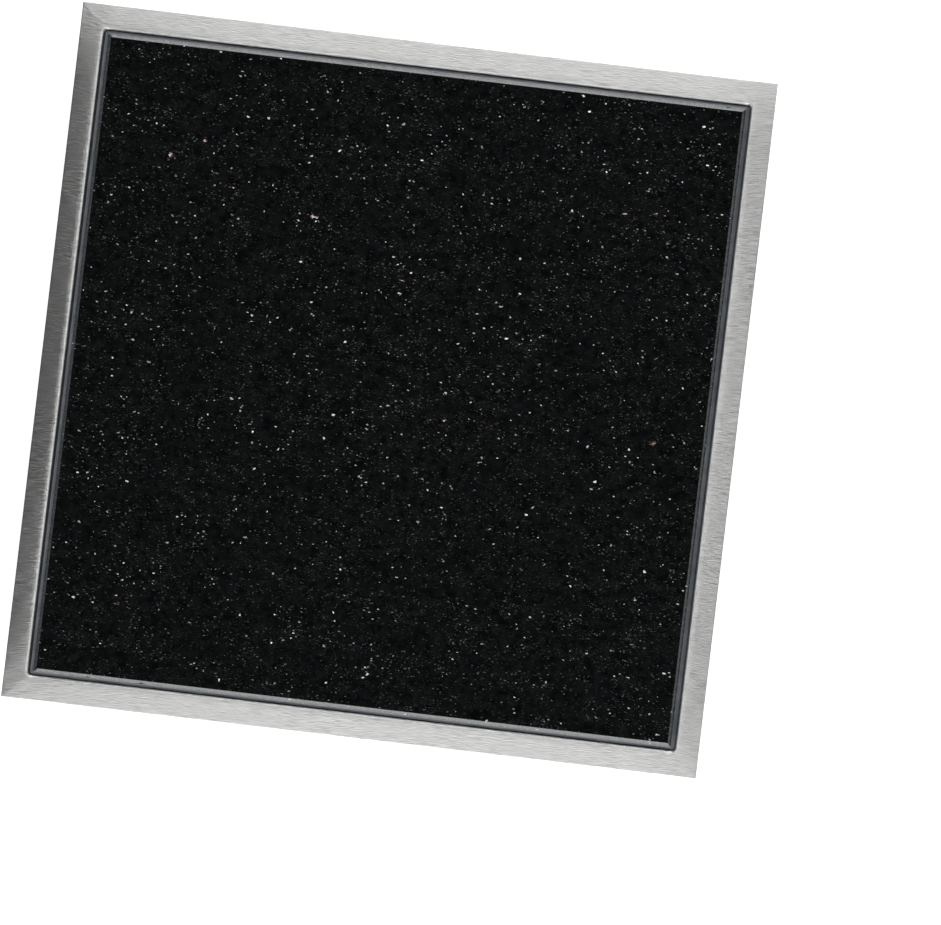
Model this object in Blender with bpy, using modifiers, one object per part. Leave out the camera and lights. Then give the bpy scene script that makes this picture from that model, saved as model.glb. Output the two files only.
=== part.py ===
"""Granite slab for leather work: a polished stone tile bonded into a pressed steel tray.

Metres, +Z up. The origin is the middle of the tray's flat bottom, and the tray stands on z = 0.
The brushed sheet is one piece: a pan for the tile, a flat rim round it, and a hem folded under the rim.
"""

import math

import bmesh
import bpy

# Stone tile
slab_side = 0.3048
slab_thickness = 0.0100
slab_arris = 0.0015  # 45 degree chamfer round the polished face
slab_proud = 0.0008  # how far the polished face stands above the rim

# Pressed sheet
sheet = 0.0008
rim_width = 0.01175  # from the pan's wall to the outer edge
rim_bend = 0.00175  # rounding from the rim down into the pan, on the brushed face
foot_bend = 0.0020  # rounding from the wall to the pan's floor, on the brushed face
rim_corner = 0.0018  # plan radius of the pan's upright corners, just under the rim
floor_corner = 0.0028  # plan radius of the floor's flat area

# Hem folded under the rim
hem_width = 0.0051
hem_gap = 0.0006  # space between the rim and the hem, at the fold
hem_droop = math.radians(8)  # the hem opens by this much towards its free edge
hem_slit = 0.0003  # width of the mitred slit at each corner

# Bonding
joint_width = 0.0020  # from the tile's edge to the pan's wall
bed_thickness = 0.0012
bed_margin = 0.0060  # the adhesive stops this far inside the tile's edge
bed_corner = 0.0100
seal_depth = 0.0036  # from the bead's lip down to its underside
seal_dish = 0.0005  # how far the bead's middle sinks below its lips
seal_lip = 0.0002  # the bead's lip stays this far below the chamfer

clearance = 0.0003  # between solids that touch on the real object

# Heights
floor_top = sheet
bed_bottom = floor_top + clearance
slab_bottom = bed_bottom + bed_thickness + clearance
slab_top = slab_bottom + slab_thickness
rim_top = slab_top - slab_proud
seal_top = min(slab_top - slab_arris, rim_top - clearance) - seal_lip

wall_top = rim_top - rim_bend
wall_bottom = floor_top + foot_bend

# Half widths, from the middle
slab_half = slab_side / 2
wall_half = slab_half + joint_width
outer_half = wall_half + rim_width
fold_radius = sheet + hem_gap / 2

same_point = 1e-6  # points nearer than this are one

corner_steps = 6
bend_steps = 6
wall_steps = 3
dish_steps = 4


def clear_scene():
    for obj in list(bpy.data.objects):
        bpy.data.objects.remove(obj, do_unlink=True)


def make_collection(name):
    collection = bpy.data.collections.new(name)
    bpy.context.scene.collection.children.link(collection)
    return collection


def make_material(name, colour, roughness, metallic):
    material = bpy.data.materials.new(name)
    material.use_nodes = True
    shader = material.node_tree.nodes["Principled BSDF"]
    shader.inputs["Base Color"].default_value = (*colour, 1.0)
    shader.inputs["Roughness"].default_value = roughness
    shader.inputs["Metallic"].default_value = metallic
    material.diffuse_color = (*colour, 1.0)
    return material


def make_object(name, mesh, collection, material=None):
    obj = bpy.data.objects.new(name, mesh)
    collection.objects.link(obj)
    if material:
        mesh.materials.append(material)
    return obj


def rounded_square(half, radius, height):
    """Points of a square with round corners, counter-clockwise, the same number for any size."""
    points = []
    for quarter in range(4):
        middle = math.radians(90 * quarter + 45)
        centre_x = math.copysign(half - radius, math.cos(middle))
        centre_y = math.copysign(half - radius, math.sin(middle))
        for step in range(corner_steps + 1):
            angle = math.radians(90 * (quarter + step / corner_steps))
            points.append((centre_x + radius * math.cos(angle), centre_y + radius * math.sin(angle), height))
    return points


def wall_corner(height):
    """Plan radius of the pan's wall at a height: it grows from the rim down to the floor.

    It stays small enough for the tile's square corner to clear the wall.
    """
    share = (wall_top - height) / (wall_top - wall_bottom)
    radius = rim_corner + (floor_corner + foot_bend - rim_corner) * min(max(share, 0.0), 1.0)
    return min(radius, (joint_width * math.sqrt(2) - clearance) / (math.sqrt(2) - 1))


def add_rings(shape, rings):
    """Lays a skin of quads from each ring to the next, and returns the rings' vertices."""
    rows = [[shape.verts.new(point) for point in rounded_square(*ring)] for ring in rings]
    for row, following in zip(rows, rows[1:]):
        for index in range(len(row)):
            after = (index + 1) % len(row)
            shape.faces.new((row[index], row[after], following[after], following[index]))
    return rows


def mesh_from(shape, name, smooth=True):
    mesh = bpy.data.meshes.new(name)
    shape.to_mesh(mesh)
    shape.free()
    if smooth:
        mesh.shade_smooth()
        mesh.set_sharp_from_angle(angle=math.radians(30))
    return mesh


def hem_rings():
    """The hem's free edge and the fold up to the rim, as half width, corner radius and height.

    The folds meet in mitres, so these rings are plain squares.
    """
    fold_middle = (outer_half - fold_radius, rim_top - fold_radius)
    start = hem_droop - math.pi / 2
    foot = (fold_middle[0] + fold_radius * math.cos(start), fold_middle[1] + fold_radius * math.sin(start))
    reach = foot[0] - (outer_half - hem_width)
    rings = [(foot[0] - reach, 0.0, foot[1] - reach * math.tan(hem_droop))]
    for step in range(bend_steps + 1):
        angle = start + (math.pi / 2 - start) * step / bend_steps
        half = fold_middle[0] + fold_radius * math.cos(angle)
        rings.append((half, 0.0, fold_middle[1] + fold_radius * math.sin(angle)))
    return rings


def pan_rings():
    """From the rim's inner edge down the wall to the edge of the flat floor."""
    rings = []
    for step in range(bend_steps + 1):
        angle = math.pi / 2 * step / bend_steps
        out = rim_bend * (1 - math.sin(angle))
        height = rim_top - rim_bend * (1 - math.cos(angle))
        rings.append((wall_half + out, wall_corner(height) + out, height))
    for step in range(1, wall_steps):
        height = wall_top + (wall_bottom - wall_top) * step / wall_steps
        rings.append((wall_half, wall_corner(height), height))
    for step in range(bend_steps + 1):
        angle = math.pi / 2 * step / bend_steps
        inwards = foot_bend * (1 - math.cos(angle))
        height = wall_bottom - foot_bend * math.sin(angle)
        rings.append((wall_half - inwards, wall_corner(height) - inwards, height))
    return rings


def make_hem_cutters(collection):
    """One thin upright plate on each diagonal, which parts the hem at its mitre and leaves the rim whole."""
    cutters = []
    inner = outer_half - hem_width - sheet
    outer = outer_half - fold_radius
    top = rim_top - sheet - hem_gap / 2
    depth = fold_radius + hem_width
    for quarter in range(4):
        shape = bmesh.new()
        bmesh.ops.create_cube(shape, size=1.0)
        length = (outer - inner) * math.sqrt(2)
        bmesh.ops.scale(shape, vec=(length, hem_slit, depth), verts=shape.verts)
        cutter = make_object(f"hem_slit_cutter_{quarter + 1}", mesh_from(shape, "hem_slit", False), collection)
        turn = math.radians(90 * quarter + 45)
        reach = (inner + outer) / 2 * math.sqrt(2)
        cutter.location = (reach * math.cos(turn), reach * math.sin(turn), top - depth / 2)
        cutter.rotation_euler = (0, 0, turn)
        cutter.hide_render = True
        cutter.display_type = "WIRE"
        cutters.append(cutter)
    return cutters


def make_tray(collection, cutters):
    shape = bmesh.new()
    rows = add_rings(shape, hem_rings() + pan_rings())
    shape.faces.new(rows[-1])
    bmesh.ops.remove_doubles(shape, verts=shape.verts, dist=same_point)
    tray = make_object("steel_tray", mesh_from(shape, "steel_tray"), collection,
                       make_material("brushed_stainless", (0.60, 0.60, 0.58), 0.34, 1.0))
    solidify = tray.modifiers.new("sheet", "SOLIDIFY")
    solidify.thickness = sheet
    solidify.offset = -1.0
    solidify.use_even_offset = True
    solidify.use_quality_normals = True
    for number, cutter in enumerate(cutters, 1):
        cut = tray.modifiers.new(f"mitre_{number}", "BOOLEAN")
        cut.operation = "DIFFERENCE"
        cut.object = cutter
    return tray


def make_slab(collection):
    shape = bmesh.new()
    bmesh.ops.create_cube(shape, size=1.0)
    bmesh.ops.scale(shape, vec=(slab_side, slab_side, slab_thickness), verts=shape.verts)
    weight = shape.edges.layers.float.new("bevel_weight_edge")
    for edge in shape.edges:
        if all(corner.co.z > 0 for corner in edge.verts):
            edge[weight] = 1.0
    slab = make_object("granite_slab", mesh_from(shape, "granite_slab", False), collection,
                       make_material("black_granite", (0.012, 0.012, 0.013), 0.06, 0.0))
    slab.location.z = slab_bottom + slab_thickness / 2
    arris = slab.modifiers.new("arris", "BEVEL")
    arris.limit_method = "WEIGHT"
    arris.width = slab_arris
    arris.segments = 1
    return slab


def make_bed(collection):
    shape = bmesh.new()
    half = slab_half - bed_margin
    rings = [(half, bed_corner, bed_bottom + bed_thickness), (half, bed_corner, bed_bottom)]
    rows = add_rings(shape, rings)
    shape.faces.new(rows[0])
    shape.faces.new(rows[-1][::-1])
    bmesh.ops.recalc_face_normals(shape, faces=shape.faces)
    return make_object("adhesive_bed", mesh_from(shape, "adhesive_bed"), collection,
                       make_material("set_adhesive", (0.45, 0.44, 0.41), 0.7, 0.0))


def make_seal(collection):
    """The bead fills the joint round the tile: a dished top between the tile's edge and the wall."""
    inner = slab_half + clearance
    outer = wall_half - clearance
    bottom = seal_top - seal_depth
    section = [(inner, clearance, bottom)]
    for step in range(dish_steps + 1):
        share = step / dish_steps
        corner = clearance + (wall_corner(seal_top) - 2 * clearance) * share
        sunk = seal_dish * (1 - (2 * share - 1) ** 2)
        section.append((inner + (outer - inner) * share, corner, seal_top - sunk))
    section.append((outer, wall_corner(bottom) - clearance, bottom))
    shape = bmesh.new()
    add_rings(shape, section + section[:1])
    bmesh.ops.remove_doubles(shape, verts=shape.verts, dist=same_point)
    bmesh.ops.recalc_face_normals(shape, faces=shape.faces)
    return make_object("edge_sealant", mesh_from(shape, "edge_sealant"), collection,
                       make_material("grey_sealant", (0.11, 0.115, 0.125), 0.38, 0.0))


def main():
    clear_scene()
    parts = make_collection("granite_slab_in_tray")
    helpers = make_collection("cutters")
    make_tray(parts, make_hem_cutters(helpers))
    make_bed(parts)
    make_slab(parts)
    make_seal(parts)


main()
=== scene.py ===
import math

import bpy
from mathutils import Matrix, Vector


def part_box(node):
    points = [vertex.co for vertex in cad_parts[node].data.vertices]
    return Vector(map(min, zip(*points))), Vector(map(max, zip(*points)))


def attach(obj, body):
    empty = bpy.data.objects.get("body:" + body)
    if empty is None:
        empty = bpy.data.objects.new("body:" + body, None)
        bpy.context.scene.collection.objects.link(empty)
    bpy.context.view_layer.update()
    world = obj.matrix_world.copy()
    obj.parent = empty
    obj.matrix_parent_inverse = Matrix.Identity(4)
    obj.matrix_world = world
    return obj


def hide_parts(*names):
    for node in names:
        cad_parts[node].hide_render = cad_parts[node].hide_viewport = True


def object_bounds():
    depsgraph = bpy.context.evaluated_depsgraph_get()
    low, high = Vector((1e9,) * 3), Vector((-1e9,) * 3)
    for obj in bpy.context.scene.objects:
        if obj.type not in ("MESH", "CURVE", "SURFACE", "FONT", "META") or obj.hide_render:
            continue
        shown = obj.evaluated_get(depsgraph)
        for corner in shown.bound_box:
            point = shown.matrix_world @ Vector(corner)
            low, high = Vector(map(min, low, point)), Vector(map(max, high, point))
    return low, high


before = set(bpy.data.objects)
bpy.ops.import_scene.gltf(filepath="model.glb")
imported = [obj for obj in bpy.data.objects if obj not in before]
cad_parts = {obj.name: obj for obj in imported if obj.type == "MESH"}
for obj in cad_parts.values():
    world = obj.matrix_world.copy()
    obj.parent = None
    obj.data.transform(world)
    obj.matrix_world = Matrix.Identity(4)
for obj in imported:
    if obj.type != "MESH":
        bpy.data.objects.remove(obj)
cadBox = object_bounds()

scene = bpy.context.scene
scene.view_settings.view_transform = "Standard"

quarterTurn = math.pi / 2
nextTo = 0.00001          # lengths that differ by less count as the same
mergeDistance = 2e-6

slabLow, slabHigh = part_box("granite_slab")
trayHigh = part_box("steel_tray")[1]
slabHalf = slabHigh.x
outerHalf = trayHigh.x
rimTop = trayHigh.z


# Short ways to add nodes; they serve the geometry trees and the shaders alike.
def plug(tree, socket, value):
    if isinstance(value, bpy.types.NodeSocket):
        tree.links.new(value, socket)
    elif value is not None:
        socket.default_value = value


def addNode(tree, kind, inputs=None, **settings):
    node = tree.nodes.new(kind)
    for name, value in settings.items():
        setattr(node, name, value)
    for key, value in (inputs or {}).items():
        plug(tree, node.inputs[key], value)
    return node


def calc(tree, operation, *values):
    return addNode(tree, "ShaderNodeMath", dict(enumerate(values)), operation=operation).outputs[0]


def plus(tree, first, second):
    return calc(tree, "ADD", first, second)


def minus(tree, first, second):
    return calc(tree, "SUBTRACT", first, second)


def times(tree, first, second):
    return calc(tree, "MULTIPLY", first, second)


def calcVector(tree, operation, *values):
    node = addNode(tree, "ShaderNodeVectorMath", dict(enumerate(values)), operation=operation)
    return node.outputs[0]


def scaled(tree, vector, factor):
    node = addNode(tree, "ShaderNodeVectorMath", {0: vector, 3: factor}, operation="SCALE")
    return node.outputs[0]


def split(tree, vector):
    return addNode(tree, "ShaderNodeSeparateXYZ", {0: vector}).outputs


def joined(tree, x=0.0, y=0.0, z=0.0):
    return addNode(tree, "ShaderNodeCombineXYZ", {0: x, 1: y, 2: z}).outputs[0]


# Maps the span fromLow..fromHigh to toLow..toHigh, held at both ends.
def remap(tree, value, fromLow, fromHigh, toLow, toHigh, smooth=False):
    node = tree.nodes.new("ShaderNodeMapRange")
    node.interpolation_type = "SMOOTHSTEP" if smooth else "LINEAR"
    for key, item in enumerate((value, fromLow, fromHigh, toLow, toHigh)):
        plug(tree, node.inputs[key], item)
    return node.outputs[0]


def noise(tree, vector, scale, detail=3.0, roughness=0.5):
    inputs = {"Vector": vector, "Scale": scale, "Detail": detail, "Roughness": roughness}
    return addNode(tree, "ShaderNodeTexNoise", inputs).outputs[0]


def newTree(name, sockets, kind="GeometryNodeTree"):
    tree = bpy.data.node_groups.new(name, kind)
    for way, sort, label in sockets:
        tree.interface.new_socket(label, in_out=way, socket_type=f"NodeSocket{sort}")
    entry = tree.nodes.new("NodeGroupInput")
    leave = tree.nodes.new("NodeGroupOutput")
    return tree, entry.outputs, leave.inputs


def inputsOf(kind, *labels):
    return [("INPUT", kind, label) for label in labels]


def positionOf(tree):
    return tree.nodes.new("GeometryNodeInputPosition").outputs[0]


def readValue(tree, name, kind="FLOAT"):
    node = addNode(tree, "GeometryNodeInputNamedAttribute", {"Name": name}, data_type=kind)
    return node.outputs["Attribute"]


def keepValue(tree, mesh, name, value, kind="FLOAT", domain="POINT"):
    node = addNode(tree, "GeometryNodeStoreNamedAttribute", {"Geometry": mesh, "Name": name},
                   data_type=kind, domain=domain)
    plug(tree, node.inputs["Value"], value)
    return node.outputs["Geometry"]


# Lofts a section (x is the half width, z the height) round a square with round corners.
# Each quarter is a corner arc followed by a straight side.
# The sheet's flat size goes into the UV map, so that a grain runs on over the bends.
def makeLoftGroup():
    tree, given, result = newTree("loftRoundSquare", [
        ("INPUT", "Geometry", "Section"), *inputsOf("Int", "Corner Steps", "Side Steps"),
        *inputsOf("Float", "Corner", "Flat Length"), ("OUTPUT", "Geometry", "Mesh"),
    ])
    section, cornerSteps = given["Section"], given["Corner Steps"]
    size = addNode(tree, "GeometryNodeAttributeDomainSize", {"Geometry": section}, component="CURVE")
    count = size.outputs["Point Count"]
    quarterSteps = plus(tree, cornerSteps, given["Side Steps"])
    around = times(tree, quarterSteps, 4)
    grid = addNode(tree, "GeometryNodeMeshGrid", {
        "Size X": 1.0, "Size Y": 1.0, "Vertices X": plus(tree, around, 1), "Vertices Y": count,
    })
    gridX, gridY, _ = split(tree, positionOf(tree))
    step = calc(tree, "ROUND", times(tree, plus(tree, gridX, 0.5), around))
    row = calc(tree, "ROUND", times(tree, plus(tree, gridY, 0.5), minus(tree, count, 1)))

    def fromSection(value, kind="FLOAT"):
        node = addNode(tree, "GeometryNodeSampleIndex", {"Geometry": section, "Index": row},
                       data_type=kind, domain="POINT")
        plug(tree, node.inputs["Value"], value)
        return node.outputs["Value"]

    half, _, height = split(tree, fromSection(positionOf(tree), "FLOAT_VECTOR"))
    corner = fromSection(given["Corner"])
    run = fromSection(tree.nodes.new("GeometryNodeSplineParameter").outputs["Length"])
    flatHalf = calc(tree, "ABSOLUTE", minus(tree, given["Flat Length"], run))

    wrapped = calc(tree, "MODULO", step, around)
    quarter = calc(tree, "FLOOR", calc(tree, "DIVIDE", plus(tree, wrapped, 0.5), quarterSteps))
    within = minus(tree, wrapped, times(tree, quarter, quarterSteps))
    arc = calc(tree, "MINIMUM", calc(tree, "DIVIDE", within, cornerSteps), 1.0)
    pastCorner = calc(tree, "MAXIMUM", minus(tree, within, cornerSteps), 0.0)
    along = calc(tree, "DIVIDE", pastCorner, given["Side Steps"])
    angle = times(tree, plus(tree, quarter, arc), quarterTurn)
    turn = times(tree, plus(tree, quarter, 0.5), quarterTurn)
    nextTurn = plus(tree, turn, quarterTurn)

    def cornerSign(wave):
        here = times(tree, calc(tree, wave, turn), math.sqrt(2))
        there = times(tree, calc(tree, wave, nextTurn), math.sqrt(2))
        return plus(tree, here, times(tree, minus(tree, there, here), along))

    signX, signY = cornerSign("COSINE"), cornerSign("SINE")

    def ringPoint(halfWidth, level):
        reach = minus(tree, halfWidth, corner)
        x = plus(tree, times(tree, reach, signX), times(tree, corner, calc(tree, "COSINE", angle)))
        y = plus(tree, times(tree, reach, signY), times(tree, corner, calc(tree, "SINE", angle)))
        return joined(tree, x, y, level)

    mesh = keepValue(tree, grid.outputs["Mesh"], "UVMap", ringPoint(flatHalf, 0.0), "FLOAT2", "CORNER")
    mesh = keepValue(tree, mesh, "run", run)
    mesh = keepValue(tree, mesh, "half", half)
    places = {"Geometry": mesh, "Position": ringPoint(half, height)}
    placed = addNode(tree, "GeometryNodeSetPosition", places)
    tree.links.new(placed.outputs[0], result["Mesh"])
    return tree


loftGroup = makeLoftGroup()


def loft(tree, section, corner, cornerSteps, sideSteps, flatLength=0.0):
    node = tree.nodes.new("GeometryNodeGroup")
    node.node_tree = loftGroup
    for label, value in (("Section", section), ("Corner", corner), ("Corner Steps", cornerSteps),
                         ("Side Steps", sideSteps), ("Flat Length", flatLength)):
        plug(tree, node.inputs[label], value)
    return node.outputs["Mesh"]


def shift(tree, mesh, offset):
    return addNode(tree, "GeometryNodeSetPosition", {"Geometry": mesh, "Offset": offset}).outputs[0]


# Ends a piece's tree: the seams are merged, and the finish is set.
def closeUp(tree, mesh, result, material, backMaterial=None):
    merge = {"Geometry": mesh, "Distance": mergeDistance}
    mesh = addNode(tree, "GeometryNodeMergeByDistance", merge).outputs[0]
    for name in ("run", "half"):
        mesh = addNode(tree, "GeometryNodeRemoveAttribute", {"Geometry": mesh, "Name": name}).outputs[0]
    mesh = addNode(tree, "GeometryNodeSetShadeSmooth", {"Geometry": mesh}).outputs[0]
    mesh = addNode(tree, "GeometryNodeRealizeInstances", {"Geometry": mesh}).outputs[0]
    mesh = addNode(tree, "GeometryNodeSetMaterial", {"Geometry": mesh, "Material": material}).outputs[0]
    if backMaterial is not None:
        back = addNode(tree, "GeometryNodeSetMaterial", {"Geometry": mesh, "Material": backMaterial})
        plug(tree, back.inputs["Selection"], readValue(tree, "back", "BOOLEAN"))
        drop = {"Geometry": back.outputs[0], "Name": "back"}
        mesh = addNode(tree, "GeometryNodeRemoveAttribute", drop).outputs[0]
    tree.links.new(mesh, result["Mesh"])


# A section goes in as a chain of points: half width, height and bend radius.
def makeSectionObject(name, points):
    mesh = bpy.data.meshes.new(name)
    corners = [(half, 0.0, height) for half, height, bend in points]
    mesh.from_pydata(corners, [(number, number + 1) for number in range(len(points) - 1)], [])
    layer = mesh.attributes.new("bend", "FLOAT", "POINT")
    layer.data.foreach_set("value", [bend for half, height, bend in points])
    obj = bpy.data.objects.new(name, mesh)
    scene.collection.objects.link(obj)
    return obj


def meshFrom(obj):
    depsgraph = bpy.context.evaluated_depsgraph_get()
    return bpy.data.meshes.new_from_object(obj.evaluated_get(depsgraph), preserve_all_data_layers=True,
                                           depsgraph=depsgraph)


# Runs a tree on a section object and leaves a plain mesh object in its place.
def runTree(obj, tree, values, name):
    modifier = obj.modifiers.new(tree.name, "NODES")
    modifier.node_group = tree
    for item in tree.interface.items_tree:
        if item.item_type == "SOCKET" and item.in_out == "INPUT" and item.name in values:
            modifier[item.identifier] = values[item.name]
    mesh = meshFrom(obj)
    obj.modifiers.remove(modifier)
    bpy.data.objects.remove(obj, do_unlink=True)
    mesh.name = name
    piece = bpy.data.objects.new(name, mesh)
    scene.collection.objects.link(piece)
    return piece


# The pieces are closed solids, so the highest flat face has to look up.
def faceOut(piece):
    mesh = piece.data
    highest = max(mesh.polygons, key=lambda face: (round(face.center.z, 5), face.area))
    if highest.normal.z < 0:
        mesh.flip_normals()


def newMaterial(name):
    material = bpy.data.materials.new(name)
    material.use_nodes = True
    return material, material.node_tree, material.node_tree.nodes["Principled BSDF"]


def mixColour(tree, share, first, second):
    node = addNode(tree, "ShaderNodeMix", data_type="RGBA")
    for key, value in ((0, share), (6, first), (7, second)):
        if isinstance(value, tuple):
            value = (*value, 1.0)
        plug(tree, node.inputs[key], value)
    return node.outputs[2]


def grey(tree, tone):
    return addNode(tree, "ShaderNodeCombineColor", {0: tone, 1: tone, 2: tone}).outputs[0]


def addBump(tree, shader, height, distance, strength=1.0):
    bump = addNode(tree, "ShaderNodeBump", {"Height": height, "Distance": distance, "Strength": strength})
    plug(tree, shader.inputs["Normal"], bump.outputs[0])


brushedLook = {
    "colour": (0.625, 0.623, 0.617),
    "darkColour": (0.455, 0.454, 0.450),
    "roughness": 0.385,
    "streaks": 0.22,                  # how much the roughness varies from line to line
    "anisotropy": 1.0,
    "glossTurn": 0.25,                # a quarter turn, so that the gloss spreads across the lines
    "lines": (0.0085, 0.00042),       # length and width of the fine brush lines, in metres
    "lineStart": (0.0, 0.0, 0.0),
    "lineDetail": (4.0, 0.62),
    "lineShare": 0.82,
    "strokes": (0.0042, 0.00055),     # the coarser strokes, which also tilt the surface a little
    "strokeStart": (3.1, 7.7, 0.0),
    "strokeDetail": (1.0, 0.5),
    "strokeShare": 0.18,
    "strokeDepth": 0.00015,
    "contrast": (0.35, 0.65),         # the part of the noise that is spread over both colours
}


def makeBrushed():
    look = brushedLook
    material, tree, shader = newMaterial("brushedStainless")
    uv = addNode(tree, "ShaderNodeUVMap", uv_map="UVMap").outputs[0]

    def streaks(size, start, detail):
        length, width = size
        inputs = {"Vector": uv, "Scale": (1 / length, 1 / width, 1.0), "Location": start}
        mapped = addNode(tree, "ShaderNodeMapping", inputs)
        return noise(tree, mapped.outputs[0], 1.0, *detail)

    fine = streaks(look["lines"], look["lineStart"], look["lineDetail"])
    coarse = streaks(look["strokes"], look["strokeStart"], look["strokeDetail"])
    both = plus(tree, times(tree, fine, look["lineShare"]), times(tree, coarse, look["strokeShare"]))
    spread = remap(tree, both, *look["contrast"], 0.0, 1.0)
    plug(tree, shader.inputs["Base Color"], mixColour(tree, spread, look["darkColour"], look["colour"]))
    least, most = look["roughness"] - look["streaks"] / 2, look["roughness"] + look["streaks"] / 2
    plug(tree, shader.inputs["Roughness"], remap(tree, spread, 0.0, 1.0, least, most))
    addBump(tree, shader, coarse, look["strokeDepth"])
    tangent = addNode(tree, "ShaderNodeTangent", direction_type="UV_MAP", uv_map="UVMap")
    plug(tree, shader.inputs["Tangent"], tangent.outputs[0])
    shader.inputs["Metallic"].default_value = 1.0
    shader.inputs["Anisotropic"].default_value = look["anisotropy"]
    shader.inputs["Anisotropic Rotation"].default_value = look["glossTurn"]
    return material


satinLook = {
    "colour": (0.50, 0.49, 0.475),
    "pale": 1.12,                     # how much brighter the pale clouds are
    "stain": (0.33, 0.32, 0.31),
    "stainStrength": 0.6,
    "stainScale": 34.0,               # scales are patches per metre
    "stainRange": (0.62, 0.78),
    "cloudScale": 9.0,
    "roughness": 0.32,
    "cloudRoughness": 0.12,           # added where the clouds are pale
    "grainScale": 2600.0,
    "grainDepth": 0.000002,
}


def makeSatin():
    look = satinLook
    material, tree, shader = newMaterial("satinStainless")
    place = addNode(tree, "ShaderNodeTexCoord").outputs["Object"]
    cloud = noise(tree, place, look["cloudScale"], 5.0, 0.6)
    stains = noise(tree, place, look["stainScale"], 4.0, 0.55)
    stain = remap(tree, stains, *look["stainRange"], 0.0, look["stainStrength"], True)
    pale = tuple(channel * look["pale"] for channel in look["colour"])
    tone = mixColour(tree, cloud, look["colour"], pale)
    plug(tree, shader.inputs["Base Color"], mixColour(tree, stain, tone, look["stain"]))
    rough = plus(tree, look["roughness"], times(tree, cloud, look["cloudRoughness"]))
    plug(tree, shader.inputs["Roughness"], rough)
    addBump(tree, shader, noise(tree, place, look["grainScale"], 2.0), look["grainDepth"])
    shader.inputs["Metallic"].default_value = 1.0
    return material


sealantLook = {
    "colour": (0.100, 0.109, 0.126),
    "dust": (0.165, 0.176, 0.192),
    "dustScale": 160.0,
    "dustRange": (0.35, 0.7),
    "roughness": (0.28, 0.52),        # clean and dusty
    "skinScale": 700.0,
    "skinDepth": 0.00004,
    "skinStrength": 0.6,
}


def makeSealantMaterial():
    look = sealantLook
    material, tree, shader = newMaterial("greySealant")
    place = addNode(tree, "ShaderNodeTexCoord").outputs["Object"]
    cloud = remap(tree, noise(tree, place, look["dustScale"], 5.0, 0.6), *look["dustRange"], 0.0, 1.0)
    plug(tree, shader.inputs["Base Color"], mixColour(tree, cloud, look["colour"], look["dust"]))
    plug(tree, shader.inputs["Roughness"], remap(tree, cloud, 0.0, 1.0, *look["roughness"]))
    addBump(tree, shader, noise(tree, place, look["skinScale"]), look["skinDepth"], look["skinStrength"])
    return material


adhesiveLook = {
    "colour": (0.45, 0.44, 0.41),
    "dark": (0.36, 0.35, 0.32),
    "cloudScale": 60.0,
    "cloudRange": (0.3, 0.7),
    "roughness": (0.6, 0.8),
}


def makeAdhesiveMaterial():
    look = adhesiveLook
    material, tree, shader = newMaterial("setAdhesive")
    place = addNode(tree, "ShaderNodeTexCoord").outputs["Object"]
    cloud = noise(tree, place, look["cloudScale"], 5.0, 0.6)
    plug(tree, shader.inputs["Base Color"], mixColour(tree, cloud, look["colour"], look["dark"]))
    plug(tree, shader.inputs["Roughness"], remap(tree, cloud, *look["cloudRange"], *look["roughness"]))
    return material


stoneLook = {
    "shadow": (0.0008, 0.0011, 0.0013),
    "ground": (0.0062, 0.0067, 0.0071),
    "mottle": 260.0,                  # patches per metre
    "mottleRange": (0.36, 0.66),
    "tilt": (0.3, 0.2),               # tips the cells out of the plane of the face
    # Each sort of crystal, and the painted glints: turn, stretch, cells per metre, share of the cells,
    # size, warp, clusters per metre, and then its dim and its bright tone.
    "laths": [
        (0.4, 2.6, 640.0, 0.32, 0.44, 520.0, 70.0, 0.004, 0.022),
        (1.9, 2.2, 820.0, 0.28, 0.44, 600.0, 95.0, 0.004, 0.024),
    ],
    "specks": [
        (2.6, 1.9, 840.0, 0.10, 0.44, 700.0, 62.0, 0.011, 0.15),
        (1.1, 2.2, 980.0, 0.08, 0.46, 760.0, 96.0, 0.011, 0.14),
    ],
    "flakes": [
        (0.9, 1.6, 780.0, 0.021, 0.42, 640.0, 60.0, 0.05, 0.80),
        (2.4, 1.4, 660.0, 0.013, 0.38, 520.0, 45.0, 0.06, 0.95),
    ],
    # The glint cells are painted highlights: bright spots in the stone's colour that stand in for
    # crystals catching the light.
    "glints": [
        (1.3, 1.3, 540.0, 0.0080, 0.40, 420.0, 40.0, 0.30, 1.15),
    ],
    # The higher the power, the fewer of a sort come out bright.
    "powers": {"laths": 1.0, "specks": 2.2, "flakes": 1.8, "glints": 1.2},
    "silver": (1.0, 1.02, 1.03),
    "copperCells": (0.2, 1.8, 220.0, 0.0035, 0.38, 360.0, 11.0),
    "copperDark": (0.090, 0.045, 0.036),
    "copperPale": (0.80, 0.66, 0.60),
    "copperScale": 520.0,
    "copperRange": (0.42, 0.58),
    "polish": 0.035,                  # roughness of the face
    "arrisTone": (0.049, 0.053, 0.059),
    "arrisRoughness": (0.07, 0.31),
    "arrisStart": 0.00004,            # the ground finish starts this far outside the face's edge
    "arrisDepth": 0.00012,            # or this far below the face
    "scuffScale": 420.0,
    "scuffRange": (0.40, 0.58),
    "grainScale": 1500.0,
    "grainDepth": 0.00003,
    "grainStrength": 0.18,
}

crystalShape = {
    "warpReach": 1.6,                       # how far the outlines are pushed about, in cells
    "crowding": (0.44, 0.67, 0.06, 3.3),    # noise range, and what it multiplies the share by
    "sizes": (0.55, 1.15),
    "softEdge": 0.75,                       # where a crystal starts to fade towards its outline
}


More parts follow.
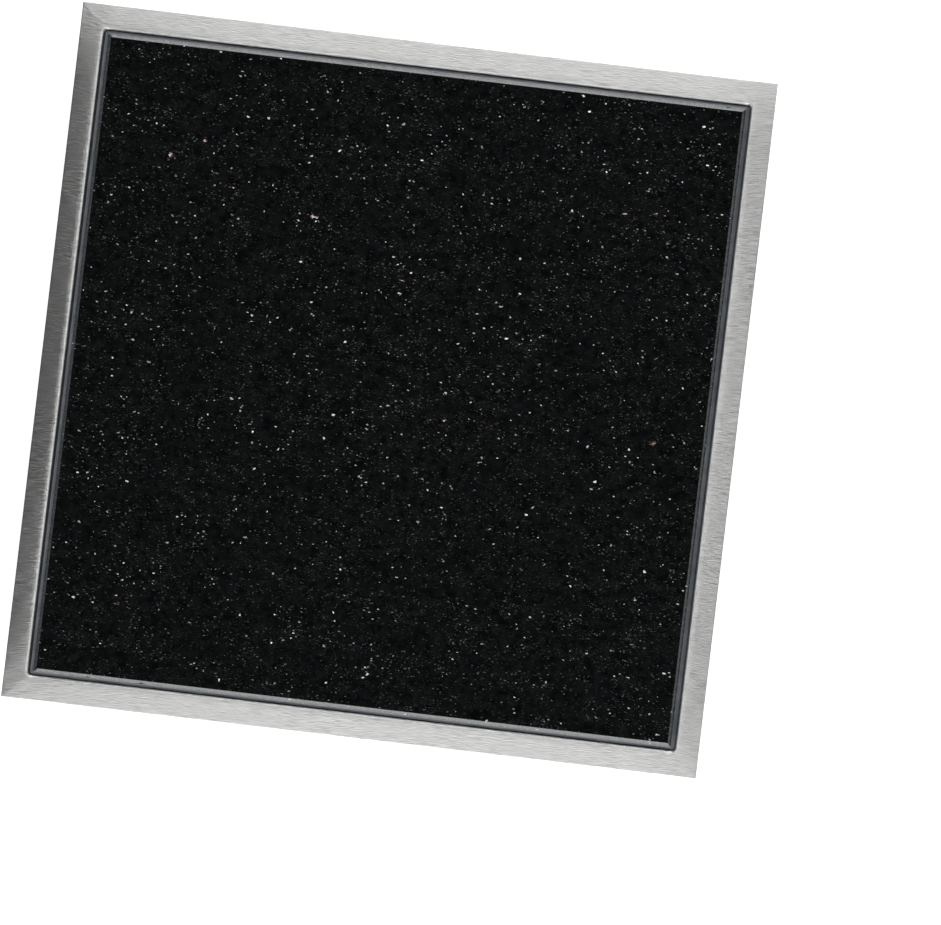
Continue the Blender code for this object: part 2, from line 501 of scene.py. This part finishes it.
# One sort of crystal: a share of the cells of a warped cell pattern, each with its own tone.
def makeCrystalGroup():
    shape = crystalShape
    tree, given, result = newTree("crystalCells", [
        ("INPUT", "Vector", "Vector"), *inputsOf("Float", "Scale", "Share", "Size", "Warp", "Crowd"),
        ("OUTPUT", "Float", "Mask"), ("OUTPUT", "Float", "Tone"),
    ], "ShaderNodeTree")
    place, scale = given["Vector"], given["Scale"]
    warp = addNode(tree, "ShaderNodeTexNoise", {"Vector": place, "Scale": given["Warp"], "Detail": 2.0})
    centred = calcVector(tree, "SUBTRACT", warp.outputs["Color"], (0.5, 0.5, 0.5))
    push = scaled(tree, centred, calc(tree, "DIVIDE", shape["warpReach"], scale))
    moved = calcVector(tree, "ADD", place, push)
    cells = addNode(tree, "ShaderNodeTexVoronoi", {"Vector": moved, "Scale": scale}, feature="F1")
    chance = addNode(tree, "ShaderNodeSeparateColor", {0: cells.outputs["Color"]}).outputs
    crowding = remap(tree, noise(tree, place, given["Crowd"], 2.0), *shape["crowding"])
    limit = minus(tree, 1.0, times(tree, given["Share"], crowding))
    chosen = calc(tree, "GREATER_THAN", chance[0], limit)
    size = times(tree, given["Size"], remap(tree, chance[2], 0.0, 1.0, *shape["sizes"]))
    near = remap(tree, cells.outputs["Distance"], times(tree, size, shape["softEdge"]), size, 1.0, 0.0)
    tree.links.new(times(tree, chosen, near), result["Mask"])
    tree.links.new(chance[1], result["Tone"])
    return tree


def makeStone():
    look = stoneLook
    material, tree, shader = newMaterial("polishedBlackGranite")
    crystalGroup = makeCrystalGroup()
    place = addNode(tree, "ShaderNodeTexCoord").outputs["Object"]

    def crystals(turn, stretch, *sizes):
        node = tree.nodes.new("ShaderNodeGroup")
        node.node_tree = crystalGroup
        inputs = {"Vector": place, "Rotation": (*look["tilt"], turn), "Scale": (1.0, stretch, 1.0)}
        plug(tree, node.inputs["Vector"], addNode(tree, "ShaderNodeMapping", inputs).outputs[0])
        for label, value in zip(("Scale", "Share", "Size", "Warp", "Crowd"), sizes):
            plug(tree, node.inputs[label], value)
        return node.outputs["Mask"], node.outputs["Tone"]

    patches = remap(tree, noise(tree, place, look["mottle"], 4.0, 0.6), *look["mottleRange"], 0.0, 1.0)
    colour = mixColour(tree, patches, look["shadow"], look["ground"])
    # The laths, specks and flakes are the stone's own crystals; the glint cells paint highlights into its
    # colour.
    for sort, power in look["powers"].items():
        for *sizes, dim, bright in look[sort]:
            mask, tone = crystals(*sizes)
            level = remap(tree, calc(tree, "POWER", tone, power), 0.0, 1.0, dim, bright)
            colour = mixColour(tree, mask, colour, scaled(tree, look["silver"], level))
    mask, tone = crystals(*look["copperCells"])
    broken = remap(tree, noise(tree, place, look["copperScale"], 2.0), *look["copperRange"], 0.0, 1.0)
    copper = mixColour(tree, broken, look["copperDark"], look["copperPale"])
    colour = mixColour(tree, mask, colour, copper)

    # The arris and the sides, outside the polished face, are ground.
    x, y, z = split(tree, place)
    reach = calc(tree, "MAXIMUM", calc(tree, "ABSOLUTE", x), calc(tree, "ABSOLUTE", y))
    faceHalf = slabHalf - tileShape["arris"]
    outside = calc(tree, "GREATER_THAN", reach, faceHalf + look["arrisStart"])
    below = calc(tree, "LESS_THAN", z, slabHigh.z - look["arrisDepth"])
    ground = calc(tree, "MAXIMUM", outside, below)
    scuff = remap(tree, noise(tree, place, look["scuffScale"], 4.0, 0.66), *look["scuffRange"], 0.0, 1.0)
    arrisColour = mixColour(tree, scuff, colour, look["arrisTone"])
    plug(tree, shader.inputs["Base Color"], mixColour(tree, ground, colour, arrisColour))
    rough = remap(tree, scuff, 0.0, 1.0, *look["arrisRoughness"])
    finish = addNode(tree, "ShaderNodeMix", {0: ground, 2: look["polish"], 3: rough}, data_type="FLOAT")
    plug(tree, shader.inputs["Roughness"], finish.outputs[0])
    grain = noise(tree, place, look["grainScale"], 3.0, 0.6)
    addBump(tree, shader, grain, look["grainDepth"], times(tree, ground, look["grainStrength"]))
    return material


trayShape = {
    "rimWidth": 0.01175,
    "rimBend": 0.00175,
    "footBend": 0.0020,
    "sheet": 0.0008,
    "rimCorner": 0.0018,
    "footCorner": 0.0048,
    "outerCorner": 0.00022,
    "hemWidth": 0.0051,
    "hemDepth": 0.0021,                # from the rim's face down to the hem's, at the fold
    "hemDroop": math.radians(8),
    "foldRadius": 0.00022,
    "slope": math.radians(5.2),        # the rim falls away a little towards its edge
    "easing": 0.0018,                  # width over which the fall starts
    "cornerEase": 0.85,                # share of the fall that is lost at the corners
    "cornerReach": 0.036,
    "wave": 0.00010,
    "waveScale": 14.0,                 # waves per metre
    "bendSteps": 8,
    "cornerSteps": 8,
    "sideSteps": 40,
    # Extra rings, by their distance from the hem's fold, the outer edge, the bend and the wall.
    "hemRing": 0.0012,
    "edgeRings": (0.0007, 0.0014),
    "rimRings": (0.0032, 0.0021, 0.0016, 0.0011, 0.0006, 0.0001),
    "underRings": (0.0006, 0.0016, 0.0032),
    "floorRings": (0.006, 0.020),
    "middleRing": 0.5,                 # as a share of the wall's half width
    # The mitred slit at each corner of the hem, and the plate that cuts it.
    "hemSlit": 0.0003,
    "slitTop": 0.00012,                # above the hem's sheet
    "slitBottom": 0.003,
    "slitInside": 1.5,                 # past the hem's free edge, in thicknesses of the sheet
    "slitOutside": 0.001,
}
wallHalf = outerHalf - trayShape["rimWidth"]
wallTop = rimTop - trayShape["rimBend"]
wallBottom = trayShape["sheet"] + trayShape["footBend"]


# Length of a chain of points whose bends are rounded.
def flatLength(points):
    length = 0.0
    for (x0, z0, bend), (x1, z1, nextBend) in zip(points, points[1:]):
        length += math.hypot(x1 - x0, z1 - z0)
    for before, here, after in zip(points, points[1:], points[2:]):
        first = math.atan2(here[1] - before[1], here[0] - before[0])
        second = math.atan2(after[1] - here[1], after[0] - here[0])
        turn = abs((second - first + math.pi) % (2 * math.pi) - math.pi)
        length -= here[2] * (2 * math.tan(turn / 2) - turn)
    return length


# The brushed face from the hem's free edge in to the middle of the floor, and the hidden side back.
def traySections(flatEdge, lowerFold):
    shape = trayShape
    sheet, droop = shape["sheet"], shape["hemDroop"]
    hemLine = outerHalf - shape["hemWidth"]
    hemEdge = lowerFold - shape["hemWidth"] * math.tan(droop)
    underRim = rimTop - sheet
    wallMiddle = (wallTop + wallBottom) / 2
    floorRings = [wallHalf - inset for inset in shape["floorRings"]] + [wallHalf * shape["middleRing"]]
    face = [
        (hemLine, hemEdge, 0.0),
        (outerHalf - shape["hemRing"], lowerFold - shape["hemRing"] * math.tan(droop), 0.0),
        (outerHalf, lowerFold, shape["foldRadius"]),
        (outerHalf, rimTop, shape["foldRadius"]),
        *((outerHalf - inset, rimTop, 0.0) for inset in shape["edgeRings"]),
        (hemLine, rimTop, 0.0),
        *((flatEdge + reach, rimTop, 0.0) for reach in shape["rimRings"]),
        (wallHalf, rimTop, shape["rimBend"]),
        (wallHalf, wallMiddle, 0.0),
        (wallHalf, sheet, shape["footBend"]),
        *((half, sheet, 0.0) for half in floorRings),
        (0.0, sheet, 0.0),
    ]
    underside = [
        (0.0, 0.0, 0.0),
        *((half, 0.0, 0.0) for half in reversed(floorRings)),
        (wallHalf + sheet, 0.0, shape["footBend"] + sheet),
        (wallHalf + sheet, wallMiddle, 0.0),
        (wallHalf + sheet, underRim, shape["rimBend"] - sheet),
        *((flatEdge + reach, underRim, 0.0) for reach in shape["underRings"]),
        (outerHalf - sheet, underRim, 0.0),
        (outerHalf - sheet, lowerFold + sheet / math.cos(droop) - sheet * math.tan(droop), 0.0),
        (hemLine - sheet * math.sin(droop), hemEdge + sheet * math.cos(droop), 0.0),
        (hemLine, hemEdge, 0.0),
    ]
    return face, underside


def makeTray(material, backMaterial):
    shape = trayShape
    flatEdge = wallHalf + shape["rimBend"]
    lowerFold = rimTop - shape["hemDepth"]
    face, underside = traySections(flatEdge, lowerFold)
    tree, given, result = newTree("pressedTray", [
        ("INPUT", "Geometry", "Section"), *inputsOf("Int", "Bend Steps", "Corner Steps", "Side Steps"),
        *inputsOf("Float", "Wall Half", "Wall Top", "Wall Bottom", "Flat Edge", "Hem Line", "Outer Half",
                  "Rim Corner", "Foot Corner", "Outer Corner", "Face Length", "Slope", "Easing",
                  "Corner Ease", "Corner Reach", "Wave"),
        *inputsOf("Material", "Finish", "Back Finish"), ("OUTPUT", "Geometry", "Mesh"),
    ])
    wall, edge, outer = given["Wall Half"], given["Flat Edge"], given["Outer Half"]
    curve = addNode(tree, "GeometryNodeMeshToCurve", {"Mesh": given["Section"]}).outputs[0]
    fillet = addNode(tree, "GeometryNodeFilletCurve", {
        "Curve": curve, "Radius": readValue(tree, "bend"), "Limit Radius": True,
        "Count": given["Bend Steps"],
    }, mode="POLY")

    # The plan radius grows down the wall, and shrinks to a sharp corner at the rim's outer edge.
    half, _, height = split(tree, positionOf(tree))
    wallRadius = remap(tree, height, given["Wall Top"], given["Wall Bottom"], given["Rim Corner"],
                       given["Foot Corner"])
    panRadius = calc(tree, "MAXIMUM", plus(tree, wallRadius, minus(tree, half, wall)), 0.0)
    edgeRadius = plus(tree, given["Rim Corner"], minus(tree, edge, wall))
    rimRadius = remap(tree, half, edge, given["Hem Line"], edgeRadius, given["Outer Corner"])
    onRim = calc(tree, "GREATER_THAN", half, edge)
    inPan = times(tree, minus(tree, 1.0, onRim), panRadius)
    corner = plus(tree, times(tree, onRim, rimRadius), inPan)
    mesh = loft(tree, fillet.outputs[0], corner, given["Corner Steps"], given["Side Steps"],
                given["Face Length"])

    # The two skins stay apart in the middle, and the hidden one takes another finish.
    atMiddle = calc(tree, "LESS_THAN", readValue(tree, "half"), nextTo)
    mesh = addNode(tree, "GeometryNodeDeleteGeometry", {"Geometry": mesh, "Selection": atMiddle},
                   domain="FACE").outputs[0]
    hidden = calc(tree, "GREATER_THAN", readValue(tree, "run"), plus(tree, given["Face Length"], nextTo))
    mesh = keepValue(tree, mesh, "back", hidden, "BOOLEAN", "FACE")

    # The rim falls away outwards, less at the corners, and has slight waves.
    reach = calc(tree, "MAXIMUM", minus(tree, readValue(tree, "half"), edge), 0.0)
    early = calc(tree, "MINIMUM", reach, given["Easing"])
    curved = calc(tree, "DIVIDE", times(tree, early, early), times(tree, given["Easing"], 2.0))
    fall = plus(tree, curved, minus(tree, reach, early))
    fall = times(tree, fall, calc(tree, "TANGENT", given["Slope"]))
    position = positionOf(tree)
    x, y, _ = split(tree, position)
    nearest = calc(tree, "MINIMUM", calc(tree, "ABSOLUTE", x), calc(tree, "ABSOLUTE", y))
    easeStart = minus(tree, outer, given["Corner Reach"])
    ease = remap(tree, nearest, easeStart, outer, 1.0, minus(tree, 1.0, given["Corner Ease"]), True)
    sway = times(tree, noise(tree, position, shape["waveScale"], 1.0), given["Wave"])
    lift = times(tree, sway, times(tree, reach, 1 / (shape["rimWidth"] - shape["rimBend"])))
    down = times(tree, plus(tree, times(tree, fall, ease), lift), -1.0)
    closeUp(tree, shift(tree, mesh, joined(tree, z=down)), result, given["Finish"], given["Back Finish"])

    piece = runTree(makeSectionObject("traySection", face + underside), tree, {
        "Bend Steps": shape["bendSteps"],
        "Corner Steps": shape["cornerSteps"],
        "Side Steps": shape["sideSteps"],
        "Wall Half": wallHalf,
        "Wall Top": wallTop,
        "Wall Bottom": wallBottom,
        "Flat Edge": flatEdge,
        "Hem Line": outerHalf - shape["hemWidth"],
        "Outer Half": outerHalf,
        "Rim Corner": shape["rimCorner"],
        "Foot Corner": shape["footCorner"],
        "Outer Corner": shape["outerCorner"],
        "Face Length": flatLength(face),
        "Slope": shape["slope"],
        "Easing": shape["easing"],
        "Corner Ease": shape["cornerEase"],
        "Corner Reach": shape["cornerReach"],
        "Wave": shape["wave"],
        "Finish": material,
        "Back Finish": backMaterial,
    }, "brushedTray")
    faceOut(piece)
    cutHem(piece, lowerFold)
    piece.data.shade_smooth()
    piece.data.set_sharp_from_angle(angle=math.radians(40))
    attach(piece, "root")
    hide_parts("steel_tray")


# The hem is slit along each mitre by a thin upright plate.
def cutHem(piece, lowerFold):
    shape = trayShape
    fall = (shape["rimWidth"] - shape["rimBend"]) * math.tan(shape["slope"]) * (1 - shape["cornerEase"])
    top = lowerFold + shape["sheet"] + shape["slitTop"] - fall
    bottom = lowerFold - shape["slitBottom"]
    inner = outerHalf - shape["hemWidth"] - shape["sheet"] * shape["slitInside"]
    outer = outerHalf + shape["slitOutside"]
    outline = ((inner, -1), (outer, -1), (outer, 1), (inner, 1))
    sides = [(3, 2, 1, 0), (4, 5, 6, 7), (0, 1, 5, 4), (1, 2, 6, 5), (2, 3, 7, 6), (3, 0, 4, 7)]
    plates = []
    for quarter in range(4):
        turn = (quarter + 0.5) * quarterTurn
        out = Vector((math.cos(turn), math.sin(turn), 0)) * math.sqrt(2)
        aside = Vector((-math.sin(turn), math.cos(turn), 0)) * (shape["hemSlit"] / 2)
        corners = [tuple(out * reach + aside * way + Vector((0, 0, level)))
                   for level in (bottom, top) for reach, way in outline]
        mesh = bpy.data.meshes.new("slitPlate")
        mesh.from_pydata(corners, [], sides)
        plate = bpy.data.objects.new("slitPlate", mesh)
        scene.collection.objects.link(plate)
        plates.append(plate)
        cut = piece.modifiers.new("mitre", "BOOLEAN")
        cut.operation = "DIFFERENCE"
        cut.solver = "EXACT"
        cut.object = plate
    mesh = meshFrom(piece)
    piece.modifiers.clear()
    piece.data = mesh
    mesh.name = piece.name
    for plate in plates:
        bpy.data.objects.remove(plate, do_unlink=True)


tileShape = {
    "arris": 0.0015,           # its width, seen from above
    "arrisDrop": 0.00125,
    "lowerArris": 0.0004,
    "corner": 0.00012,
    "wear": 0.00016,           # how far the arris lines wander
    "wearScale": 260.0,
    "chip": 0.00045,           # depth of the few nicks
    "chipScale": 330.0,
    "chipRange": (0.68, 0.78),
    "wornReach": 0.0001,       # the wear reaches this far inside the face's edge
    "wornDepth": 0.0017,       # and this far down
    "sideSteps": 190,
    "cornerSteps": 2,
    # Extra rings: below the arris, inside the face's edge, and as a share of the half width.
    "sideRing": 0.002,
    "faceRings": (0.001, 0.006),
    "middleRing": 0.5,
}


def makeTile(material):
    shape = tileShape
    top, bottom = slabHigh.z, slabLow.z
    inner = slabHalf - shape["arris"]
    arrisFoot = top - shape["arrisDrop"]
    middle = slabHalf * shape["middleRing"]
    section = [
        (0.0, bottom, 0.0),
        (middle, bottom, 0.0),
        (slabHalf - shape["lowerArris"], bottom, 0.0),
        (slabHalf, bottom + shape["lowerArris"], 0.0),
        (slabHalf, arrisFoot - shape["sideRing"], 0.0),
        (slabHalf, arrisFoot, 0.0),
        (slabHalf - shape["arris"] / 2, top - shape["arrisDrop"] / 2, 0.0),
        (inner, top, 0.0),
        *((inner - inset, top, 0.0) for inset in shape["faceRings"]),
        (middle, top, 0.0),
        (0.0, top, 0.0),
    ]
    tree, given, result = newTree("dressedTile", [
        ("INPUT", "Geometry", "Section"), *inputsOf("Int", "Side Steps", "Corner Steps"),
        *inputsOf("Float", "Corner", "Inner Line", "Top", "Wear", "Chip"),
        ("INPUT", "Material", "Finish"), ("OUTPUT", "Geometry", "Mesh"),
    ])
    curve = addNode(tree, "GeometryNodeMeshToCurve", {"Mesh": given["Section"]}).outputs[0]
    half = split(tree, positionOf(tree))[0]
    corner = calc(tree, "MINIMUM", given["Corner"], half)
    mesh = loft(tree, curve, corner, given["Corner Steps"], given["Side Steps"])

    # The two lines of the arris wander, with a few nicks.
    position = positionOf(tree)
    x, y, height = split(tree, position)
    innerStart = minus(tree, given["Inner Line"], shape["wornReach"])
    outside = calc(tree, "GREATER_THAN", readValue(tree, "half"), innerStart)
    high = calc(tree, "GREATER_THAN", height, minus(tree, given["Top"], shape["wornDepth"]))
    ripple = minus(tree, noise(tree, position, shape["wearScale"], 3.0, 0.6), 0.5)
    nick = remap(tree, noise(tree, position, shape["chipScale"], 2.0), *shape["chipRange"], 0.0, 1.0)
    nickDepth = times(tree, nick, times(tree, given["Chip"], -1.0))
    amount = calc(tree, "MINIMUM", plus(tree, times(tree, ripple, given["Wear"]), nickDepth), 0.0)
    amount = times(tree, amount, times(tree, outside, high))
    outward = calcVector(tree, "NORMALIZE", squareNormal(tree, x, y))
    closeUp(tree, shift(tree, mesh, scaled(tree, outward, amount)), result, given["Finish"])

    piece = runTree(makeSectionObject("tileSection", section), tree, {
        "Side Steps": shape["sideSteps"],
        "Corner Steps": shape["cornerSteps"],
        "Corner": shape["corner"],
        "Inner Line": inner,
        "Top": top,
        "Wear": shape["wear"],
        "Chip": shape["chip"],
        "Finish": material,
    }, "graniteTile")
    faceOut(piece)
    piece.data.set_sharp_from_angle(angle=math.radians(25))
    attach(piece, "root")
    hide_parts("granite_slab")


# Outward direction of the nearest side of the square.
def squareNormal(tree, x, y):
    wide = calc(tree, "GREATER_THAN", calc(tree, "ABSOLUTE", x), calc(tree, "ABSOLUTE", y))
    outX = times(tree, calc(tree, "SIGN", x), wide)
    outY = times(tree, calc(tree, "SIGN", y), minus(tree, 1.0, wide))
    return joined(tree, outX, outY)


sealShape = {
    "top": 0.0111,             # height of its edge on the tile
    "crest": 0.0107,           # height where it turns down to the steel
    "crestReach": 0.00135,
    "wallTop": 0.0091,         # height of its edge on the steel
    "bottom": 0.0073,
    "sag": 0.00012,
    "wave": 0.00025,
    "waveScale": 90.0,         # waves per metre
    "fullerRight": 0.0018,     # how much higher it stands against the steel on its right side
    "fullerLeft": 0.0007,
    "gap": 0.00002,            # to the tile and to the steel
    "innerCorner": 0.0002,
    "fullerStart": 0.0002,     # from the bead's inner side
    "firmHeight": 0.002,       # above its bottom, where the waves reach full height
    "bendSteps": 4,
    "sideSteps": 110,
    "cornerSteps": 6,
}


def makeSealant(material):
    shape = sealShape
    inner, outer = slabHalf + shape["gap"], wallHalf - shape["gap"]
    crestReach, steps = shape["crestReach"], shape["bendSteps"]
    section = [(inner, shape["bottom"], 0.0)]
    for step in range(steps + 1):
        share = step / steps
        level = shape["top"] + (shape["crest"] - shape["top"]) * share
        section.append((inner + crestReach * share, level - shape["sag"] * 4 * share * (1 - share), 0.0))
    for step in range(1, steps + 1):
        share = step / steps
        level = shape["crest"] + (shape["wallTop"] - shape["crest"]) * math.sin(share * quarterTurn)
        section.append((inner + crestReach + (outer - inner - crestReach) * share, level, 0.0))
    section += [(outer, shape["bottom"], 0.0), (inner, shape["bottom"], 0.0)]
    tree, given, result = newTree("sealantBead", [
        ("INPUT", "Geometry", "Section"), *inputsOf("Int", "Corner Steps", "Side Steps"),
        *inputsOf("Float", "Inner Half", "Outer Half", "Wall Top", "Wall Bottom", "Rim Corner",
                  "Foot Corner", "Base", "Wave", "Fuller Right", "Fuller Left"),
        ("INPUT", "Material", "Finish"), ("OUTPUT", "Geometry", "Mesh"),
    ])
    curve = addNode(tree, "GeometryNodeMeshToCurve", {"Mesh": given["Section"]}).outputs[0]
    half, _, height = split(tree, positionOf(tree))
    wallRadius = remap(tree, height, given["Wall Top"], given["Wall Bottom"], given["Rim Corner"],
                       given["Foot Corner"])
    corner = remap(tree, half, given["Inner Half"], given["Outer Half"], shape["innerCorner"], wallRadius)
    mesh = loft(tree, curve, corner, given["Corner Steps"], given["Side Steps"])

    # The bead's top is wavy, and stands higher against the steel on two sides.
    position = positionOf(tree)
    across, _, height = split(tree, position)
    firm = plus(tree, given["Base"], shape["firmHeight"])
    onTop = remap(tree, height, given["Base"], firm, 0.0, 1.0)
    ripple = minus(tree, noise(tree, position, shape["waveScale"], 3.0, 0.55), 0.5)
    lift = times(tree, ripple, given["Wave"])
    start = plus(tree, given["Inner Half"], shape["fullerStart"])
    for side, way in (("Fuller Right", 1.0), ("Fuller Left", -1.0)):
        outwards = times(tree, across, way)
        rise = remap(tree, outwards, start, given["Outer Half"], 0.0, given[side], True)
        lift = plus(tree, lift, rise)
    closeUp(tree, shift(tree, mesh, joined(tree, z=times(tree, lift, onTop))), result, given["Finish"])

    piece = runTree(makeSectionObject("beadSection", section), tree, {
        "Corner Steps": shape["cornerSteps"],
        "Side Steps": shape["sideSteps"],
        "Inner Half": inner,
        "Outer Half": outer,
        "Wall Top": wallTop,
        "Wall Bottom": wallBottom,
        "Rim Corner": trayShape["rimCorner"],
        "Foot Corner": trayShape["footCorner"],
        "Base": shape["bottom"],
        "Wave": shape["wave"],
        "Fuller Right": shape["fullerRight"],
        "Fuller Left": shape["fullerLeft"],
        "Finish": material,
    }, "sealantBead")
    faceOut(piece)
    piece.data.set_sharp_from_angle(angle=math.radians(40))
    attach(piece, "root")
    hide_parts("edge_sealant")


studio = {
    "floorTones": (0.65, 0.67),
    "floorPatches": 2.0,       # per metre
    "floorRoughness": 0.9,
    "floorGloss": 0.2,
    "floorGlow": 0.80,
    "floorSize": 9.0,
    "floorGap": 0.0001,        # below the tray
    "horizon": 0.86,
    "overhead": 0.036,
    "skyRange": (0.06, 0.30),  # heights between which the sky darkens
    # Two soft patches of light, high on the left and on the right.
    "sideLight": 1.0,
    "sideWidth": (0.62, 0.82),
    "sideBottom": (0.44, 0.58),
    "sideTop": (0.80, 0.92),
    "panelDistance": 0.95,
    "panelHeight": 0.85,
    "panelLift": 0.01,
    "panelWidth": 0.708,
    "panelMiddle": 0.071,      # the two long panels stand further to the right
    "backPanel": 5.4,
    "frontPanel": 5.8,
    "rightPanel": 0.55,
    "rightWidth": 1.2,
    "rightDistance": 1.3,      # as a factor on the other panels'
}


def addPanel(name, middle, target, width, height, radiance):
    light = bpy.data.lights.new(name, "AREA")
    light.shape = "RECTANGLE"
    light.size = width
    light.size_y = height
    light.energy = radiance * math.pi * width * height
    lamp = bpy.data.objects.new(name, light)
    scene.collection.objects.link(lamp)
    lamp.location = middle
    lamp.rotation_euler = (Vector(target) - Vector(middle)).to_track_quat("-Z", "Y").to_euler()
    lamp.visible_camera = False


def makeFloor():
    look = studio
    size = look["floorSize"]
    mesh = bpy.data.meshes.new("paleFloor")
    corners = [(-size, -size, 0), (size, -size, 0), (size, size, 0), (-size, size, 0)]
    mesh.from_pydata(corners, [], [(0, 1, 2, 3)])
    floor = bpy.data.objects.new("paleFloor", mesh)
    scene.collection.objects.link(floor)
    floor.location.z = cadBox[0].z - look["floorGap"]
    material, tree, shader = newMaterial("palePaper")
    place = addNode(tree, "ShaderNodeTexCoord").outputs["Object"]
    tone = remap(tree, noise(tree, place, look["floorPatches"], 2.0), 0.0, 1.0, *look["floorTones"])
    plug(tree, shader.inputs["Base Color"], grey(tree, tone))
    shader.inputs["Roughness"].default_value = look["floorRoughness"]
    shader.inputs["Specular IOR Level"].default_value = look["floorGloss"]
    shader.inputs["Emission Color"].default_value = (1, 1, 1, 1)
    shader.inputs["Emission Strength"].default_value = look["floorGlow"]
    mesh.materials.append(material)


def makeStudio():
    look = studio
    makeFloor()
    world = bpy.data.worlds.new("softStudio")
    scene.world = world
    world.use_nodes = True
    tree = world.node_tree
    x, y, z = split(tree, addNode(tree, "ShaderNodeTexCoord").outputs["Generated"])
    sky = remap(tree, z, *look["skyRange"], look["horizon"], look["overhead"], True)
    acrossX, acrossY = times(tree, x, x), times(tree, y, y)
    flat = plus(tree, plus(tree, acrossX, acrossY), 0.0001)  # never zero
    sideways = calc(tree, "DIVIDE", acrossX, flat)
    patch = remap(tree, sideways, *look["sideWidth"], 0.0, look["sideLight"], True)
    fromBottom = remap(tree, z, *look["sideBottom"], 0.0, 1.0, True)
    band = times(tree, fromBottom, remap(tree, z, *look["sideTop"], 1.0, 0.0, True))
    level = plus(tree, sky, times(tree, patch, band))
    plug(tree, tree.nodes["Background"].inputs["Color"], grey(tree, level))

    middle, width, height = look["panelMiddle"], look["panelWidth"], look["panelHeight"]
    high = height / 2 + look["panelLift"]
    for name, far in (("backPanel", look["panelDistance"]), ("frontPanel", -look["panelDistance"])):
        addPanel(name, (middle, far, high), (middle, 0, high), width, height, look[name])
    right = (look["panelDistance"] * look["rightDistance"], 0, high)
    addPanel("rightPanel", right, (0, 0, high), look["rightWidth"], height, look["rightPanel"])


view = {
    "lens": 240.0,
    "sensor": 36.0,
    "widthInView": 0.44686,    # metres across the frame, at the rim
    "roll": math.radians(6.76),
    "right": 0.03848,          # the frame's middle, from the slab's, along the frame's own axes
    "up": -0.03439,
    "nearest": 0.1,
    "furthest": 60.0,
}


def makeCamera():
    lens = bpy.data.cameras.new("camera")
    lens.lens = view["lens"]
    lens.sensor_width = view["sensor"]
    lens.clip_start = view["nearest"]
    lens.clip_end = view["furthest"]
    camera = bpy.data.objects.new("camera", lens)
    scene.collection.objects.link(camera)
    distance = view["lens"] * view["widthInView"] / view["sensor"]
    roll = view["roll"]
    right = Vector((math.cos(roll), math.sin(roll), 0))
    up = Vector((-math.sin(roll), math.cos(roll), 0))
    camera.location = right * view["right"] + up * view["up"] + Vector((0, 0, rimTop + distance))
    camera.rotation_euler = (0, 0, roll)
    scene.camera = camera


makeCamera()
print("camera placed")
makeStudio()
print("studio lit")
brushed, satin = makeBrushed(), makeSatin()
makeTray(brushed, satin)
print("tray pressed")
makeTile(makeStone())
print("tile dressed")
makeSealant(makeSealantMaterial())
print("bead laid")
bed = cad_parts["adhesive_bed"]
bed.data.materials.clear()
bed.data.materials.append(makeAdhesiveMaterial())
print("adhesive finished")
